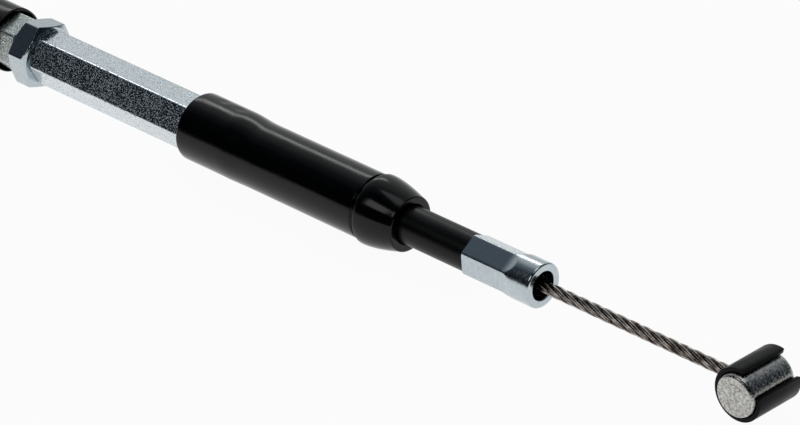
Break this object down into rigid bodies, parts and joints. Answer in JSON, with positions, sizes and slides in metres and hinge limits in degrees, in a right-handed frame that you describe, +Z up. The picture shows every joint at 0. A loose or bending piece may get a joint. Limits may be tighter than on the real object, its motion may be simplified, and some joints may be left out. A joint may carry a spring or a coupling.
{
  "type": "clutch cable",
  "caption": "Clutch cable with a twisted inner wire, barrel nipple and clip-on bush, crimped ferrules, rubber boots and a screw adjuster in line; its housing lies coiled.",
  "frame": {"origin": "On the floor, under the middle of the straight lever end of the cable, measured without the free housing and the release end.", "axes": "+Z is up from the floor the cable lies on. +X runs along the lever end's straight axis, towards the barrel nipple. +Y completes the right-handed frame, so the coil and the release end lie towards -Y."},
  "size_m": [0.353, 0.1042, 0.0162],
  "materials": {
    "zinc_plate": "bright zinc plate on steel",
    "zinc_plate_dull": "dull zinc plate on steel",
    "rope_steel": "oiled steel rope",
    "die_cast_zinc": "bare die-cast zinc alloy",
    "spring_steel": "bare spring steel",
    "black_vinyl": "glossy black vinyl",
    "black_jacket": "satin black jacket",
    "black_nylon": "satin black nylon",
    "liner_plastic": "white slippery liner"
  },
  "bodies": {
    "housing": {"rear_jacket": "black_jacket", "rear_conduit": "spring_steel", "rear_liner": "liner_plastic", "rear_cap": "spring_steel", "housing_lead_in": "black_jacket", "housing_coil": "black_jacket", "release_jacket": "black_jacket", "release_conduit": "spring_steel", "release_liner": "liner_plastic", "release_ferrule": "zinc_plate"},
    "adjuster_bolt": {"adjuster_bolt": "zinc_plate_dull"},
    "adjuster_tube": {"adjuster_tube": "zinc_plate", "front_cap": "spring_steel", "front_jacket": "black_jacket", "front_conduit": "spring_steel", "front_liner": "liner_plastic", "lever_ferrule": "zinc_plate"},
    "lock_nut": {"lock_nut": "zinc_plate"},
    "front_boot": {"front_boot": "black_vinyl"},
    "rear_boot": {"rear_boot": "black_vinyl"},
    "lever_wire": {"lever_wire": "rope_steel", "lever_nipple": "die_cast_zinc"},
    "lever_bush": {"lever_bush": "black_nylon"},
    "release_wire": {"release_wire": "rope_steel", "release_nipple": "die_cast_zinc"}
  },
  "joints": [
    {"name": "adjuster_turn", "type": "hinge", "parent": "housing", "child": "adjuster_bolt", "pos_m": [-0.0641, 0, 0.0072], "axis": [-1, 0, 0], "range_deg": [0, 2880]},
    {"name": "adjuster_extend", "type": "slide", "parent": "housing", "child": "adjuster_tube", "axis": [1, 0, 0], "range_m": [0, 0.0101]},
    {"name": "lock_nut_turn", "type": "hinge", "parent": "adjuster_tube", "child": "lock_nut", "pos_m": [-0.0616, 0, 0.0072], "axis": [1, 0, 0], "range_deg": [-45, 45]},
    {"name": "front_boot_slide", "type": "slide", "parent": "adjuster_tube", "child": "front_boot", "axis": [1, 0, 0], "range_m": [-0.0355, 0.0162]},
    {"name": "rear_boot_slide", "type": "slide", "parent": "housing", "child": "rear_boot", "axis": [1, 0, 0], "range_m": [-0.0055, 0.0044]},
    {"name": "lever_wire_slide", "type": "slide", "parent": "housing", "child": "lever_wire", "axis": [1, 0, 0], "range_m": [-0.0355, 0.034]},
    {"name": "lever_bush_turn", "type": "hinge", "parent": "lever_wire", "child": "lever_bush", "pos_m": [0.12676, 0, 0.0072], "axis": [0, 1, 0], "range_deg": [-4, 24]},
    {"name": "release_wire_slide", "type": "slide", "parent": "housing", "child": "release_wire", "axis": [1, 0, 0], "range_m": [-0.034, 0.0355]}
  ],
  "couplings": [
    {"joint": "adjuster_extend", "follows": "adjuster_turn", "m_per_rad": 0.00019894},
    {"joint": "release_wire_slide", "follows": "lever_wire_slide", "ratio": -1}
  ]
}
